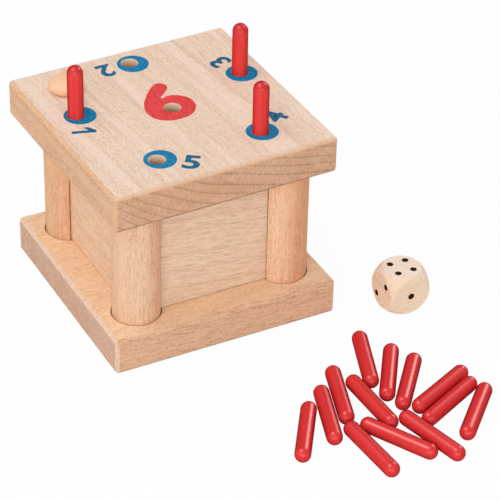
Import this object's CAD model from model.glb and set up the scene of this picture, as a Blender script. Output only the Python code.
"""Looks of the wooden dice game: beech boards and posts, printed lid, lacquered pegs and a tumbled die."""

import math

import bpy
from mathutils import Matrix, Vector


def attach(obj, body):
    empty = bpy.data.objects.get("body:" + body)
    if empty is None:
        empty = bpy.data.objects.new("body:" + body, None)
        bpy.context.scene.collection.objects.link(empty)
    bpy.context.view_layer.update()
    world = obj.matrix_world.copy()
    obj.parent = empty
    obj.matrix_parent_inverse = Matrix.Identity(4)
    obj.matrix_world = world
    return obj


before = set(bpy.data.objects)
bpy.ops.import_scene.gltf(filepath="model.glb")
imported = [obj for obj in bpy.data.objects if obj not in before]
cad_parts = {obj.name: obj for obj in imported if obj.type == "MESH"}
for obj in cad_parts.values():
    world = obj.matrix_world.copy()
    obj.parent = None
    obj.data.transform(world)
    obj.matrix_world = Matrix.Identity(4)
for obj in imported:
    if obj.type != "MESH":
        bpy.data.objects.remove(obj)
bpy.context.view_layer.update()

MM = 0.001

# Sizes of the game in millimetres and degrees, as the solids have them. PANEL_SHOWS is how far from its
# middle a panel runs into its grooves, and all holes lie within HOLES_WITHIN_R of the lid's middle
BASE_T = 16.5
TOP_Z = 84.5
POST_AT = 33.5
PIN_AT = 32
PANEL_SHOWS = 24.2
LID_TURN = 1.3
LID_MIDDLE = (-0.8, 2.2)
PATTERN_SHIFT = 0.8
HOLE_RING_R = 39.5
HOLES_WITHIN_R = 45
BEVELLED_HOLE_D = 7.4
SECOND_HOLE_ANGLE = 90
HOLE_STEP = -72
DIE_W = 18.5
DIE_MIDDLE = (78, -56, 9.25)
DIE_TURN = -1
PIP_D = 2.9
PIP_DEPTH = 0.8
PIP_OFFSET = 3.6

# The print sits a little off the holes, because the holes were drilled after it
PRINT_MIDDLE = (1.8, -0.7)
PRINT_RING_R = 39
DISC_D = 13.4
NUMERAL_BESIDE_DISC = 12.5
NUMERAL_H = 9.8
INK_T = 0.03
# How much bolder, in parts of their size, and how much wider than the type has them the numerals are
BOLDER = 0.03
WIDENED = {2: 1.02, 3: 1.08, 4: 1.1, 5: 1.2}

# How far a coat of dye or the floor keeps off what it lies against, in millimetres
DYE_GAP = 0.02
FLOOR_GAP = 0.2

GROOVE_BROWN = "#5A3018"
CROWN_RED = "#DC343A"

# Studio, in metres and degrees. FLOOR_WHITE is how much of the floor's look is plain white, which no shadow
# darkens, and ROOM_LIGHT how strongly the white room lights the game
GAME_MIDDLE = (0.02, -0.04, 0.03)
FLOOR_SIZE = 12
FLOOR_WHITE = 0.95
ROOM_LIGHT = 0.69
CAMERA_PLACE = (-0.3771, -0.77675, 0.61992)
CAMERA_TURN = -28.008
CAMERA_RISE = 34.98
CAMERA_TILT = 1.362
CAMERA_LENS = 179.93
CAMERA_SENSOR = 36

# From places measured from the middle of the lid to where the lid is, turned about its pin
LID_PLACE = (
    Matrix.Translation(Vector((-POST_AT, POST_AT, TOP_Z)) * MM)
    @ Matrix.Rotation(math.radians(LID_TURN), 4, "Z")
    @ Matrix.Translation(Vector((PIN_AT, -PIN_AT, 0)) * MM)
)


def linear(hex_code):
    """Linear colour, as shaders take it, of an sRGB hex value."""
    parts = [int(hex_code[i:i + 2], 16) / 255 for i in (1, 3, 5)]
    return [c / 12.92 if c <= 0.04045 else ((c + 0.055) / 1.055) ** 2.4 for c in parts] + [1]


def give(node_name, material):
    """Puts the material on a solid that already has the right shape."""
    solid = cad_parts[node_name]
    for place in solid.material_slots:
        place.material = material


# Shader nodes


def add(tree, kind, inputs, **settings):
    """Adds a node, makes its settings, and fills or links its inputs, which go by name or number."""
    node = tree.nodes.new(kind)
    for name, value in settings.items():
        setattr(node, name, value)
    for name, value in inputs.items():
        if isinstance(value, bpy.types.NodeSocket):
            tree.links.new(value, node.inputs[name])
        else:
            node.inputs[name].default_value = value
    return node


def new_material(name, **shader):
    """A material with a plain shader, whose uniform values are set on its own sockets."""
    material = bpy.data.materials.new(name)
    material.use_nodes = True
    surface = material.node_tree.nodes["Principled BSDF"]
    for socket, value in shader.items():
        surface.inputs[socket.replace("_", " ").title().replace("Ior", "IOR")].default_value = value
    return material, material.node_tree, surface


def finish_surface(tree, surface, colour, height, strength, depth_mm):
    """Gives the shader its colour, and a relief of at most depth_mm from the height."""
    relief = add(tree, "ShaderNodeBump", {
        "Height": height, "Strength": strength, "Distance": depth_mm * MM})
    tree.links.new(colour, surface.inputs["Base Color"])
    tree.links.new(relief.outputs[0], surface.inputs["Normal"])


def split(tree, vector):
    """The vector's X, Y and Z."""
    return add(tree, "ShaderNodeSeparateXYZ", {"Vector": vector}).outputs


def mapped(tree, vector, scale, place=(0, 0, 0)):
    """The vector scaled and moved."""
    return add(tree, "ShaderNodeMapping", {"Vector": vector, "Location": place, "Scale": scale}).outputs[0]


def math_of(tree, operation, *values):
    """Number that comes of an operation on numbers."""
    return add(tree, "ShaderNodeMath", dict(enumerate(values)), operation=operation).outputs[0]


def vector_of(tree, operation, *values):
    """Vector that comes of an operation on vectors."""
    return add(tree, "ShaderNodeVectorMath", dict(enumerate(values)), operation=operation).outputs[0]


def measure_of(tree, operation, *values):
    """Number that comes of an operation on vectors."""
    return add(tree, "ShaderNodeVectorMath", dict(enumerate(values)), operation=operation).outputs["Value"]


def weighed(tree, *parts):
    """Sum of numbers, each times its weight."""
    total = 0
    for value, weight in parts:
        total = math_of(tree, "MULTIPLY_ADD", value, weight, total)
    return total


def spread(tree, value, low, high, least=0, most=1):
    """Stretches the part of a value between low and high to the range from least to most, and stops at
    both."""
    return add(tree, "ShaderNodeMapRange", {
        "Value": value, "From Min": low, "From Max": high, "To Min": least, "To Max": most}).outputs[0]


def noise(tree, vector, detail):
    """Soft random number round 0.5, with humps about one unit of the vector across."""
    return add(tree, "ShaderNodeTexNoise", {"Vector": vector, "Scale": 1, "Detail": detail}).outputs["Fac"]


def blend(tree, share, *colours):
    """Mixes two colours, each a node's output or a hex value, by a share between 0 and 1."""
    first, second = [linear(colour) if isinstance(colour, str) else colour for colour in colours]
    return add(tree, "ShaderNodeMix", {0: share, 6: first, 7: second}, data_type="RGBA").outputs[2]


# Wood


def grain_coordinates(tree, turned, along, heart, bulge):
    """Coordinates that run across, across and along the grain, in millimetres from the tree's heart."""
    first, second = [axis for axis in "XYZ" if axis != along]
    from_left = math_of(tree, "MAXIMUM", math_of(tree, "SUBTRACT", -10, turned[first]), 0)
    bowed = math_of(tree, "MULTIPLY", math_of(tree, "POWER", from_left, 2), -bulge)
    grain = add(tree, "ShaderNodeCombineXYZ", {
        "X": turned[first], "Y": math_of(tree, "ADD", turned[second], bowed), "Z": turned[along]})
    return mapped(tree, grain.outputs[0], (1, 1, 1), (-heart[0], -heart[1], 0))


def waved(tree, grain, waviness):
    """The grain's coordinates with slow waves in them, longer along the grain than across it."""
    slow = mapped(tree, grain, (0.035, 0.035, 0.009))
    waves = add(tree, "ShaderNodeTexNoise", {"Vector": slow, "Scale": 1, "Detail": 2}).outputs["Color"]
    bend = vector_of(tree, "SUBTRACT", waves, (0.5, 0.5, 0.5))
    return vector_of(tree, "ADD", grain, vector_of(tree, "MULTIPLY", bend, [waviness * 4] * 3))


def year_rings(tree, bent, ring_mm):
    """The distance from the tree's heart, and how near a place is to the thin dark line in which its year's
    ring ends. No two years are equally wide."""
    radius = measure_of(tree, "LENGTH", vector_of(tree, "MULTIPLY", bent, (1, 1, 0)))
    years = add(
        tree, "ShaderNodeTexNoise", {"W": radius, "Scale": 0.06, "Detail": 1}, noise_dimensions="1D")
    ring = math_of(tree, "MULTIPLY", radius, 1 / ring_mm)
    ring = math_of(tree, "FRACT", math_of(tree, "MULTIPLY_ADD", years.outputs["Fac"], 1.5, ring))
    return radius, math_of(tree, "POWER", ring, 9)


def rays_at_ends(tree, bent, radius, heart):
    """The short rays that faces across the fibres show. They point away from the tree's heart and are drawn
    twice as coarse as they are so that they show: 0.6 mm apart and 2.5 mm long."""
    sides = split(tree, bent)
    angle = math_of(tree, "ARCTAN2", sides["Y"], sides["X"])
    spokes = add(tree, "ShaderNodeCombineXYZ", {
        "X": math_of(tree, "MULTIPLY", angle, math.hypot(*heart) * 1.4),
        "Y": math_of(tree, "MULTIPLY", radius, 0.4)})
    return spread(tree, noise(tree, spokes.outputs[0], 1), 0.35, 0.65)


def sanded_ends(tree, colour, cut, ray, edge, line, height, fade_z):
    """The colour with the chamfers at the ends, which cut the fibres aslant, in a tone of their own. It
    fades towards the height fade_z."""
    aslant = math_of(tree, "MULTIPLY", spread(tree, cut, 0.45, 0.62), spread(tree, cut, 0.92, 0.8, 0, 0.85))
    if fade_z:
        aslant = math_of(tree, "MULTIPLY", aslant, spread(tree, height, fade_z - 1.2, fade_z - 0.3, 1, 0.5))
    return blend(tree, aslant, colour, blend(tree, math_of(tree, "MULTIPLY", ray, 0.35), edge, line))


def sanded_ridges(tree, colour, facing, along, streak, ridge, line):
    """The colour with the chamfers along the grain in a tone of their own."""
    sideways = "X" if along == "Y" else "Y"
    both = math_of(tree, "ABSOLUTE", math_of(tree, "MULTIPLY", facing[sideways], facing["Z"]))
    worn = blend(tree, spread(tree, streak, 0.3, 0.7, 0, 0.5), ridge, line)
    return blend(tree, spread(tree, both, 0.35, 0.48, 0, 0.55), colour, worn)


def drilled(tree, colour, place, facing, height, bore, top_z):
    """The colour with the walls of the lid's holes, the upright faces well inside its rim, in two tones."""
    level = mapped(tree, place["Object"], (1 / MM, 1 / MM, 0))
    off_middle = measure_of(tree, "DISTANCE", level, (*LID_MIDDLE, 0))
    inside = spread(tree, off_middle, HOLES_WITHIN_R, HOLES_WITHIN_R + 1, 1, 0)
    upright = spread(tree, math_of(tree, "ABSOLUTE", facing["Z"]), 0.2, 0.4, 0.8, 0)
    at_top, deep_down = bore
    wall = blend(tree, spread(tree, height, top_z - 5, top_z - 0.6), deep_down, at_top)
    return blend(tree, math_of(tree, "MULTIPLY", inside, upright), colour, wall)


def shaded_below(tree, colour, facing, under):
    """The colour with the chamfers that look down aslant in a tone of their own."""
    down = facing["Z"]
    below = math_of(tree, "MULTIPLY", spread(tree, down, -0.5, -0.6), spread(tree, down, -0.9, -0.8))
    return blend(tree, below, colour, under)


def joint_lines(tree, colour, place, along, joint):
    """The colour with a thin dark line where a panel runs into its grooves, stronger towards its top, and
    one along its foot."""
    at = split(tree, place["Object"])
    groove = spread(tree, math_of(tree, "ABSOLUTE", at[along]), joint * MM, (joint + 0.25) * MM)
    groove = math_of(tree, "MULTIPLY", groove, spread(tree, at["Z"], 25 * MM, 60 * MM, 0.35, 1))
    foot = spread(tree, at["Z"], (BASE_T + 0.25) * MM, (BASE_T + 0.5) * MM, 0.55, 0)
    return blend(tree, math_of(tree, "MAXIMUM", groove, foot), colour, GROOVE_BROWN)


def wood(name, along, heart, ring_mm, pale, dark, line, end, end_line, edge=None, fade_z=None, ridge=None,
         side=None, side_way=(1, 0, 0), bore=None, tanned=None, under=None, joint=None, lean=(0, 0, 0),
         bulge=0, lines=0.3, stripe_mm=9, stripes=0.5, veins=0, fibres=0.35, pores=0.8, flecks=0.35,
         fleck_mm=3, waviness=1.5, roughness=0.62):
    """Planed and sanded wood, as a rule European beech: pinkish tan, with growth rings round the tree's
    heart, broad soft stripes, fine fibres, and the short brown flecks of its rays, which run with the grain.
    It is matt, and darker where the fibres are cut across.

    along is the axis of the grain, heart is where the tree's heart lies across it, in millimetres, and lean
    turns the grain in the board, in degrees about X, Y and Z. bulge is how strongly the rings bend down at
    the board's left, and waviness how far the grain waves, in millimetres.

    pale, dark and line are the tones along the grain, end and end_line those of faces across it. edge is
    the tone of the chamfers at the ends, which fades towards the height fade_z, ridge that of the chamfers
    along the grain, and under that of the chamfers below. side is the pale and dark tone of the faces that
    look side_way or the other way, tanned that of a side that looks to the right and has had more sun, and
    bore that of the walls of drilled holes, at the top and deep down. joint is how far from its middle a
    panel runs into its grooves, in millimetres.

    lines, stripes, veins, fibres, pores and flecks are how strongly each of them shows. stripe_mm is how
    broad a stripe is, and fleck_mm how long a fleck."""
    material, tree, surface = new_material(name, roughness=roughness, ior=1.5, specular_ior_level=0.03)
    place = add(tree, "ShaderNodeTexCoord", {}).outputs
    facing = split(tree, place["Normal"])
    turned = add(tree, "ShaderNodeMapping", {
        "Vector": place["Object"], "Rotation": [math.radians(-a) for a in lean], "Scale": [1 / MM] * 3})
    turned = split(tree, turned.outputs[0])
    grain = grain_coordinates(tree, turned, along, heart, bulge)
    bent = waved(tree, grain, waviness)
    radius, late = year_rings(tree, bent, ring_mm)
    # Fibres 0.4 mm across and some 15 mm long, and streaks 0.7 mm across and 6 mm long
    thin = noise(tree, mapped(tree, bent, (2.4, 2.4, 0.07)), 3)
    streak = noise(tree, mapped(tree, bent, (1.4, 1.4, 0.16), (7, 3, 1)), 2)
    # Broad soft stripes of paler and darker wood, with a thin line, a vein, where two of them meet
    stripe = noise(tree, mapped(tree, bent, (1 / stripe_mm, 1 / stripe_mm, 0.008)), 2)
    meeting = math_of(tree, "ABSOLUTE", math_of(tree, "SUBTRACT", stripe, 0.5))
    vein = spread(tree, meeting, 0, 0.035, veins, 0)
    stripe = spread(tree, stripe, 0.35, 0.65)
    # Ray flecks 0.35 mm wide
    fleck = noise(tree, mapped(tree, grain, (2.8, 2.8, 1 / fleck_mm)), 1)
    fleck = spread(tree, fleck, 0.52, 0.68, 0, flecks)
    # Pores are finer than this: 0.55 mm across and 1.4 mm long, so that they show
    pore = noise(tree, mapped(tree, grain, (1.8, 1.8, 0.7), (3, 5, 2)), 2)
    pore = spread(tree, pore, 0.33, 0.67, -0.5, 0.5)
    # Faces along the grain
    fine = spread(tree, thin, 0.37, 0.63, -0.5, 0.5)
    coarse = spread(tree, streak, 0.37, 0.63, -0.5, 0.5)
    tone = weighed(tree, (stripe, stripes), (pore, pores), (fine, fibres), (coarse, fibres))
    face = blend(tree, tone, pale, dark)
    if side:
        turn = math_of(tree, "ABSOLUTE", measure_of(tree, "DOT_PRODUCT", place["Normal"], side_way))
        face = blend(tree, spread(tree, turn, 0.4, 0.75), face, blend(tree, tone, *side))
    if tanned:
        face = blend(tree, spread(tree, facing["X"], -0.88, 0.05), face, blend(tree, tone, *tanned))
    face = blend(tree, math_of(tree, "MULTIPLY_ADD", late, lines, vein), face, line)
    face = blend(tree, fleck, face, line)
    # Faces that cut the fibres across show the rings, and between them the rays
    ray = rays_at_ends(tree, bent, radius, heart)
    grit = weighed(tree, (late, 0.6), (ray, 0.3), (stripe, 0.15), (pore, 0.25))
    cut = math_of(tree, "ABSOLUTE", facing[along])
    colour = blend(tree, spread(tree, cut, 0.75, 0.95), face, blend(tree, grit, end, end_line))
    if edge:
        colour = sanded_ends(tree, colour, cut, ray, edge, line, turned["Z"], fade_z)
    if ridge:
        colour = sanded_ridges(tree, colour, facing, along, streak, ridge, line)
    if bore:
        colour = drilled(tree, colour, place, facing, turned["Z"], bore, fade_z)
    if under:
        colour = shaded_below(tree, colour, facing, under)
    if joint:
        colour = joint_lines(tree, colour, place, along, joint)
    # The sanded fibres stand up by a few hundredths of a millimetre
    finish_surface(tree, surface, colour, thin, 0.25, 0.05)
    return material


# Lacquer, ink and dye


def peg_lacquer(name, deep, bright, crown):
    """Beech dowel dipped in red lacquer: an even, glossy coat with faint streaks along the peg, of a deep
    and a bright tone, and a slight unevenness that bends its lights. The coat is a clear red, which gets
    deeper towards the rims of a peg, where one looks through more of it. With crown, the end that looks up
    has drunk more of the lacquer: it is deeper and rougher."""
    material, tree, surface = new_material(
        name, roughness=0.42 if crown else 0.36, ior=1.5, specular_ior_level=0.12, coat_weight=1,
        coat_ior=1, coat_tint=(0.84, 0.6, 0.6, 1))
    place = add(tree, "ShaderNodeTexCoord", {}).outputs
    # The way that the surface looks doesn't change along a peg, so what follows it runs lengthwise
    round_peg = mapped(tree, place["Normal"], (4, 4, 4))
    along_peg = mapped(tree, place["Object"], (30, 30, 30))
    streak = noise(tree, vector_of(tree, "ADD", round_peg, along_peg), 1)
    colour = blend(tree, spread(tree, streak, 0.3, 0.7), deep, bright)
    height = noise(tree, mapped(tree, place["Object"], (1000, 1000, 1000)), 1)
    if crown:
        end = spread(tree, split(tree, place["Normal"])["Z"], 0.03, 0.55)
        colour = blend(tree, math_of(tree, "MULTIPLY", end, 0.8), colour, CROWN_RED)
        grain = noise(tree, mapped(tree, place["Object"], (1900, 1900, 1900)), 1)
        height = math_of(tree, "MULTIPLY_ADD", math_of(tree, "MULTIPLY", end, 3), grain, height)
    finish_surface(tree, surface, colour, height, 0.2, 0.2)
    return material


def blotched(name, pattern, low, high, first, second, **shader):
    """A dull film with soft blotches in two tones. pattern is how many of them go on a metre along X, Y
    and Z, and low and high are the values of the noise that show the first and the second tone."""
    material, tree, surface = new_material(name, roughness=0.6, specular_ior_level=0.03, **shader)
    place = add(tree, "ShaderNodeTexCoord", {}).outputs["Object"]
    blotch = spread(tree, noise(tree, mapped(tree, place, pattern), 2), low, high)
    tree.links.new(blend(tree, blotch, first, second), surface.inputs["Base Color"])
    return material


def printed_ink(name, thin, full):
    """Screen-printed ink on sanded wood: a flat, dull film, which the pores and fibres below break up a
    little."""
    return blotched(name, (1600, 260, 1600), 0.3, 0.7, thin, full, ior=1.5)


def pip_paint():
    """Dark brown dye in the drilled pips of the die: almost black, dull and a little blotchy."""
    return blotched("brown_dye_in_pips", (900, 900, 900), 0, 1, "#211108", "#382013", ior=1.45)


# Modelling


def start():
    """Leaves nothing selected, so that an operator acts on the next new piece alone."""
    if bpy.context.object and bpy.context.object.mode != "OBJECT":
        bpy.ops.object.mode_set(mode="OBJECT")
    bpy.ops.object.select_all(action="DESELECT")


def settle(name, material):
    """Puts the active piece's place into its mesh, and gives it its name and material."""
    piece = bpy.context.object
    bpy.ops.object.transform_apply(location=True, rotation=True, scale=True)
    piece.name = name
    piece.data.name = name
    piece.data.materials.clear()
    piece.data.materials.append(material)
    return piece


def ring_place(n, ring_r):
    """Place number n of five round a ring, and its angle."""
    angle = math.radians(SECOND_HOLE_ANGLE + (n - 2) * HOLE_STEP)
    return Vector((ring_r * math.cos(angle), ring_r * math.sin(angle))), angle


def lay_on_lid(film, name, material):
    """Thickens a flat mesh drawn round the middle of the lid into a film of ink, and puts it on the lid."""
    bpy.ops.object.mode_set(mode="EDIT")
    bpy.ops.mesh.select_all(action="SELECT")
    bpy.ops.mesh.remove_doubles(threshold=1e-6)
    bpy.ops.mesh.extrude_region_move(TRANSFORM_OT_translate={"value": (0, 0, INK_T * MM)})
    bpy.ops.mesh.select_all(action="SELECT")
    bpy.ops.mesh.normals_make_consistent()
    bpy.ops.object.mode_set(mode="OBJECT")
    film.matrix_world = LID_PLACE @ film.matrix_world
    film = settle(name, material)
    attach(film, "lid")


def circle(radius, middle):
    """Round outline drawn round a place measured from the lid's middle."""
    bpy.ops.curve.primitive_bezier_circle_add(radius=radius * MM, location=(*(middle * MM), 0))
    bpy.ops.object.transform_apply(location=True)
    return bpy.context.object


def filled(outline):
    """Turns a closed flat outline, with or without a hole in it, into a flat mesh."""
    outline.data.dimensions = "2D"
    outline.data.fill_mode = "FRONT"
    outline.data.resolution_u = 24
    bpy.ops.object.convert(target="MESH")
    return bpy.context.object


def printed_disc(n, material):
    """Round patch of ink round a hole, open where the bevelled hole was drilled through it."""
    hole, _ = ring_place(n, HOLE_RING_R)
    middle, _ = ring_place(n, PRINT_RING_R)
    start()
    disc = circle(DISC_D / 2, middle + Vector(PRINT_MIDDLE))
    circle(BEVELLED_HOLE_D / 2, hole + Vector((PATTERN_SHIFT, 0)))
    disc.select_set(True)
    bpy.context.view_layer.objects.active = disc
    bpy.ops.object.join()
    lay_on_lid(filled(disc), "printed_disc_%d" % n, material)


def closed_outline(curve, points):
    """Adds a closed, smooth outline through the points, in millimetres."""
    spline = curve.data.splines.new("BEZIER")
    spline.bezier_points.add(len(points) - 1)
    spline.use_cyclic_u = True
    for point, (x, y) in zip(spline.bezier_points, points):
        point.co = (x * MM, y * MM, 0)
        point.handle_left_type = "AUTO"
        point.handle_right_type = "AUTO"


def numeral_one():
    """A 1 drawn as a polygon: an upright stem with a long flag from its top down to the left."""
    corners = [(-0.9, -5), (0.9, -5), (0.9, 5), (-0.7, 5), (-3.2, 2), (-3.2, 0), (-0.9, 1.8)]
    bpy.ops.mesh.primitive_circle_add(vertices=len(corners), radius=MM, fill_type="NGON")
    film = bpy.context.object
    for vertex, (x, y) in zip(film.data.vertices, corners):
        vertex.co = (x * MM, y * MM, 0)
    return film


def numeral_from_type(n):
    """A bold numeral, widened from the type, as a flat mesh round its own middle."""
    bpy.ops.object.text_add(location=(0, 0, 0))
    text = bpy.context.object
    text.data.body = str(n)
    text.data.size = 1
    text.data.offset = BOLDER
    text.data.resolution_u = 12
    bpy.ops.object.convert(target="MESH")
    film = bpy.context.object
    low = Vector(film.bound_box[0])
    high = Vector(film.bound_box[6])
    size = NUMERAL_H * MM / (high.y - low.y)
    sized = Matrix.Diagonal((size * WIDENED[n], size, size, 1))
    film.matrix_world = sized @ Matrix.Translation(-(low + high) / 2)
    bpy.ops.object.transform_apply(location=True, rotation=True, scale=True)
    return film


def printed_numeral(n, material):
    """Numeral to the right of its disc, with its top towards the middle of the lid."""
    middle, angle = ring_place(n, PRINT_RING_R)
    turn = angle + math.pi / 2
    right = Vector((math.cos(turn), math.sin(turn)))
    middle += Vector(PRINT_MIDDLE) + right * NUMERAL_BESIDE_DISC
    start()
    film = numeral_one() if n == 1 else numeral_from_type(n)
    film.matrix_world = Matrix.Translation((*(middle * MM), 0)) @ Matrix.Rotation(turn, 4, "Z")
    lay_on_lid(film, "printed_numeral_%d" % n, material)


def printed_six(material):
    """Large 6 whose eye is the drilled hole, drawn as one closed outline."""
    outline = [
        (3, 19.6), (5, 18.4), (5.6, 16.4), (4.6, 14), (1.1, 10.7), (-0.7, 8.5), (2, 9), (6.1, 7.7),
        (9.2, 4.3), (9.9, 0.1), (8.5, -4.3), (4.8, -7.9), (-0.8, -9.1), (-6.5, -7.9), (-10, -4.7),
        (-11.2, 0.1), (-10.7, 3.8), (-8.9, 8), (-6, 12.1), (-2.4, 16.2), (0.6, 18.9),
    ]
    start()
    six = circle(BEVELLED_HOLE_D / 2, Vector((PATTERN_SHIFT, 0)))
    closed_outline(six, [(x + PATTERN_SHIFT, y) for x, y in outline])
    lay_on_lid(filled(six), "printed_numeral_6", material)


# Pips


def die_face_turns():
    """How the face that looks up is turned to each side of the die, with its number of pips."""
    quarter = math.pi / 2
    return [
        (4, Matrix.Identity(4)),
        (3, Matrix.Rotation(math.pi, 4, "X")),
        (1, Matrix.Rotation(quarter, 4, "X")),
        (6, Matrix.Rotation(-quarter, 4, "X")),
        (2, Matrix.Rotation(-quarter, 4, "Y")),
        (5, Matrix.Rotation(quarter, 4, "Y")),
    ]


def pip_places(count):
    """Middles of the pips on a face, in steps of the pips' distance."""
    places = [(0, 0)] if count % 2 else []
    places += [(-1, 1), (1, -1)] if count > 1 else []
    places += [(1, 1), (-1, -1)] if count > 3 else []
    places += [(-1, 0), (1, 0)] if count == 6 else []
    return places


def dyed_bowl(dimple_r):
    """Thin coat of dye in a dimple: the lower cap of a ball, seen from within."""
    start()
    radius = (dimple_r - DYE_GAP) * MM
    rim = (PIP_DEPTH - dimple_r - DYE_GAP) * MM
    bpy.ops.mesh.primitive_uv_sphere_add(segments=32, ring_count=32, radius=radius)
    bpy.ops.object.mode_set(mode="EDIT")
    bpy.ops.mesh.select_all(action="SELECT")
    bpy.ops.mesh.bisect(plane_co=(0, 0, rim), plane_no=(0, 0, 1), clear_outer=True, use_fill=False)
    bpy.ops.mesh.select_all(action="SELECT")
    bpy.ops.mesh.flip_normals()
    bpy.ops.object.mode_set(mode="OBJECT")
    bpy.ops.object.shade_smooth()
    return bpy.context.object


def painted_pips(material):
    """Dye in every dimple of the die, made from copies of one bowl."""
    dimple_r = (PIP_D ** 2 / 4 + PIP_DEPTH ** 2) / (2 * PIP_DEPTH)
    lift = DIE_W / 2 - PIP_DEPTH + dimple_r
    bowl = dyed_bowl(dimple_r)
    turned = Matrix.Translation(Vector(DIE_MIDDLE) * MM) @ Matrix.Rotation(math.radians(DIE_TURN), 4, "Z")
    bowls = []
    for count, turn in die_face_turns():
        for x, y in pip_places(count):
            place = Matrix.Translation(Vector((x * PIP_OFFSET, y * PIP_OFFSET, lift)) * MM)
            copy = bowl.copy()
            copy.data = bowl.data.copy()
            copy.matrix_world = turned @ turn @ place
            bpy.context.collection.objects.link(copy)
            bowls.append(copy)
    bpy.data.objects.remove(bowl)
    start()
    for copy in bowls:
        copy.select_set(True)
    bpy.context.view_layer.objects.active = bowls[0]
    bpy.ops.object.join()
    pips = settle("pip_dye", material)
    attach(pips, "die")


# Finishes

give("base_board", wood(
    "beech_base_board", "X", heart=(-95, 190), ring_mm=3.2, pale="#F6D3B0", dark="#E6B78F", line="#B97A50",
    end="#DEB9A0", end_line="#A97A60", edge="#EAD0BC", side=("#E9BD9B", "#C28D6E"), side_way=(0, 1, 0),
    under="#8A6044", lean=(0, 4, 0), lines=0.22, stripes=0.35, fibres=0.6, flecks=0.26))
give("lid_board", wood(
    "beech_lid_board", "Y", heart=(110, 420), ring_mm=4.1, pale="#F2DBC8", dark="#E4C4AB", line="#C8926C",
    end="#E0B595", end_line="#A57350", edge="#E0B48F", fade_z=TOP_Z, ridge="#EBBF96",
    side=("#E4BA9A", "#CA9B79"), bore=("#FCE4CC", "#B29074"), under="#A2764F", lean=(0, 0, 5), bulge=0.0035,
    lines=0.2, stripe_mm=6.5, stripes=0.6, veins=0.2, fibres=0.16, pores=1.4, flecks=0.2, waviness=0.8))

front_panel_beech = wood(
    "beech_panel_front_back", "X", heart=(20, 210), ring_mm=5, pale="#F1D4B9", dark="#DFBA9B",
    line="#B4825C", end="#D2A27C", end_line="#A8714A", joint=PANEL_SHOWS, lean=(0, 6, 0), lines=0.22,
    stripe_mm=5, stripes=0.25, fibres=0.5, flecks=0.4, fleck_mm=6)
side_panel_beech = wood(
    "beech_panel_sides", "Y", heart=(-10, 215), ring_mm=5, pale="#F3CFB0", dark="#E3B896", line="#BE875E",
    end="#D2A27C", end_line="#A8714A", lines=0.14, stripe_mm=4, stripes=0.3, veins=0.16, fibres=0.7,
    pores=1.1, flecks=0.35)
for panel in ("wall_front", "wall_back"):
    give(panel, front_panel_beech)
for panel in ("wall_left", "wall_right"):
    give(panel, side_panel_beech)

posts = {
    "post_front": dict(heart=(-60, -10), pale="#F0CAAB", dark="#DDAB86", side=("#ECC1A0", "#D9A27C"),
                       side_way=(0.88, -0.47, 0), fibres=0.55),
    "post_left": dict(heart=(-20, 70), pale="#E8BB96", dark="#D49B73", fibres=0.65, pores=0.7),
    "post_right": dict(heart=(60, -70), pale="#FCD6B4", dark="#E8B48E", tanned=("#E8B18A", "#D7966E"),
                       fibres=0.4),
    "post_back": dict(heart=(10, 20), pale="#F0C6A2", dark="#DBA67E", fibres=0.55),
}
for post, own in posts.items():
    give(post, wood(
        "beech_" + post, "Z", ring_mm=4.2, line="#BF8A60", end="#D2A27C", end_line="#A8714A", lines=0.08,
        stripe_mm=4, stripes=0.4, flecks=0.28, waviness=0.8, **own))

give("pivot_pin", wood(
    "birch_pivot_pin", "Z", heart=(-60, 160), ring_mm=9, pale="#F1C7A1", dark="#EBBA91", line="#E2AC80",
    end="#F1C49E", end_line="#EBB78E", lines=0.05, stripes=0.3, fibres=0.15, pores=0.5, flecks=0,
    roughness=0.5))
give("die", wood(
    "maple_die", "X", heart=(-80, 190), ring_mm=9, pale="#FBE8D8", dark="#EFD2BA", line="#D8AF8A",
    end="#FDDFC4", end_line="#E8BF9A", edge="#FAE1C8", side=("#F8DFC4", "#EAC8A6"), side_way=(0, 1, 0),
    lines=0.08, stripes=0.3, fibres=0.3, pores=1.2, flecks=0, waviness=0.6, roughness=0.5))

lying_lacquer = peg_lacquer("red_lacquer_dipped", "#ED4243", "#F55354", False)
standing_lacquer = peg_lacquer("red_lacquer_dipped_end_grain_up", "#F44C4A", "#FE615E", True)
for node_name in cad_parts:
    if "peg" in node_name:
        give(node_name, standing_lacquer if "standing" in node_name else lying_lacquer)

blue_ink = printed_ink("blue_ink_screen_printed", "#0E8CBD", "#056791")
dark_blue_ink = printed_ink("blue_ink_of_numerals", "#1A739B", "#10587D")
red_ink = printed_ink("red_ink_screen_printed", "#EC4E50", "#D2383A")
for n in range(1, 6):
    printed_disc(n, blue_ink)
    printed_numeral(n, dark_blue_ink)
printed_six(red_ink)
painted_pips(pip_paint())


# Studio


def pale_floor():
    """Plain white floor that shows a faint shadow."""
    start()
    bpy.ops.mesh.primitive_plane_add(size=FLOOR_SIZE, location=(0, 0, -FLOOR_GAP * MM))
    floor = bpy.context.object
    floor.name = "floor"
    material = bpy.data.materials.new("white_paper_floor")
    material.use_nodes = True
    tree = material.node_tree
    tree.nodes.clear()
    rays = add(tree, "ShaderNodeLightPath", {})
    matt = add(tree, "ShaderNodeBsdfDiffuse", {"Color": linear("#F2F2F2")})
    white = add(tree, "ShaderNodeEmission", {"Color": (1, 1, 1, 1), "Strength": 1})
    seen = math_of(tree, "MULTIPLY", rays.outputs["Is Camera Ray"], FLOOR_WHITE)
    mix = add(tree, "ShaderNodeMixShader", {0: seen, 1: matt.outputs[0], 2: white.outputs[0]})
    add(tree, "ShaderNodeOutputMaterial", {"Surface": mix.outputs[0]})
    floor.data.materials.append(material)


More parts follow.
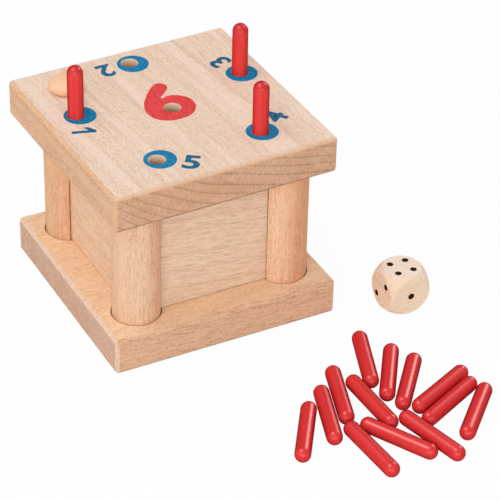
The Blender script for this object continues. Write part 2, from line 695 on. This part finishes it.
def soft_box(name, place, width, watts, height=None):
    """Soft lamp that looks at the game, square where no height is given."""
    start()
    bpy.ops.object.light_add(type="AREA", location=place)
    lamp = bpy.context.object
    lamp.name = name
    lamp.data.shape = "RECTANGLE"
    lamp.data.size = width
    lamp.data.size_y = height or width
    lamp.data.energy = watts
    lamp.rotation_euler = (Vector(GAME_MIDDLE) - Vector(place)).to_track_quat("-Z", "Y").to_euler()
    return lamp


def white_room():
    """Even light from all round, white to the camera and in reflections."""
    world = bpy.data.worlds.new("white_room")
    bpy.context.scene.world = world
    world.use_nodes = True
    tree = world.node_tree
    tree.nodes.clear()
    rays = add(tree, "ShaderNodeLightPath", {}).outputs
    seen = math_of(tree, "MAXIMUM", rays["Is Camera Ray"], rays["Is Glossy Ray"])
    seen = math_of(tree, "MAXIMUM", seen, rays["Is Transmission Ray"])
    strength = spread(tree, seen, 0, 1, ROOM_LIGHT, 1)
    light = add(tree, "ShaderNodeBackground", {"Color": (1, 1, 1, 1), "Strength": strength})
    add(tree, "ShaderNodeOutputWorld", {"Surface": light.outputs[0]})


def photo_camera():
    """Long lens from the front left and above, as far off as the photograph's perspective asks."""
    turn, rise, tilt = [math.radians(a) for a in (CAMERA_TURN, CAMERA_RISE, CAMERA_TILT)]
    back = Vector((math.sin(turn) * math.cos(rise), -math.cos(turn) * math.cos(rise), math.sin(rise)))
    right = Vector((math.cos(turn), math.sin(turn), 0))
    up = back.cross(right)
    leaning_right = right * math.cos(tilt) + up * math.sin(tilt)
    leaning_up = up * math.cos(tilt) - right * math.sin(tilt)
    turned = Matrix((leaning_right, leaning_up, back)).transposed().to_4x4()
    start()
    bpy.ops.object.camera_add()
    camera = bpy.context.object
    camera.matrix_world = Matrix.Translation(CAMERA_PLACE) @ turned
    camera.data.sensor_width = CAMERA_SENSOR
    camera.data.lens = CAMERA_LENS
    bpy.context.scene.camera = camera


pale_floor()
soft_box("soft_box_front_left", (-0.75, -0.85, 0.75), 0.7, 5.5)
soft_box("soft_box_above", (-0.35, 0.2, 1.1), 0.5, 1.9)
# These three lamps only make the lights on the lacquer, and cast no shadows of the pegs on the lid
soft_box("lamp_behind_right", (0.94, 0.36, 0.57), 0.3, 30).visible_diffuse = False
soft_box("lamp_strip_in_front", (-0.46, -0.95, 0.3), 1.6, 36, height=0.15).visible_diffuse = False
soft_box("small_lamp_above", (-0.43, 0.09, 1.09), 0.25, 50).visible_diffuse = False
white_room()
photo_camera()
bpy.context.scene.view_settings.view_transform = "Standard"
